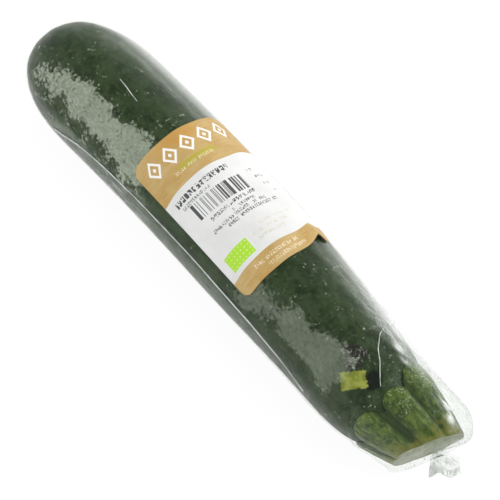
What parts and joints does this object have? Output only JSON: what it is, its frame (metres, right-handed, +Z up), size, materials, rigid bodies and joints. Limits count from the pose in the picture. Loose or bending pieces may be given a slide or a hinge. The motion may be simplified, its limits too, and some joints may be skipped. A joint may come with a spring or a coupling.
{
  "type": "film-wrapped zucchini",
  "caption": "Long dark green zucchini with a cut, ribbed stem, shrink-wrapped in clear film with a kraft-brown and white paper label on top",
  "frame": {"origin": "middle of the footprint's bounding box, on the surface the object lies on", "axes": "+X along the fruit towards the cut stem, +Y the side the fruit bows towards, +Z up; the label is on top"},
  "size_m": [0.242, 0.0498, 0.048],
  "materials": {
    "zucchini_skin": "satin",
    "stem_green": "matte",
    "clear_film": "gloss",
    "label_paper": "matte"
  },
  "bodies": {
    "root": {"fruit": "zucchini_skin", "stem": "stem_green", "film_wrap": "clear_film", "label": "label_paper"}
  },
  "joints": []
}
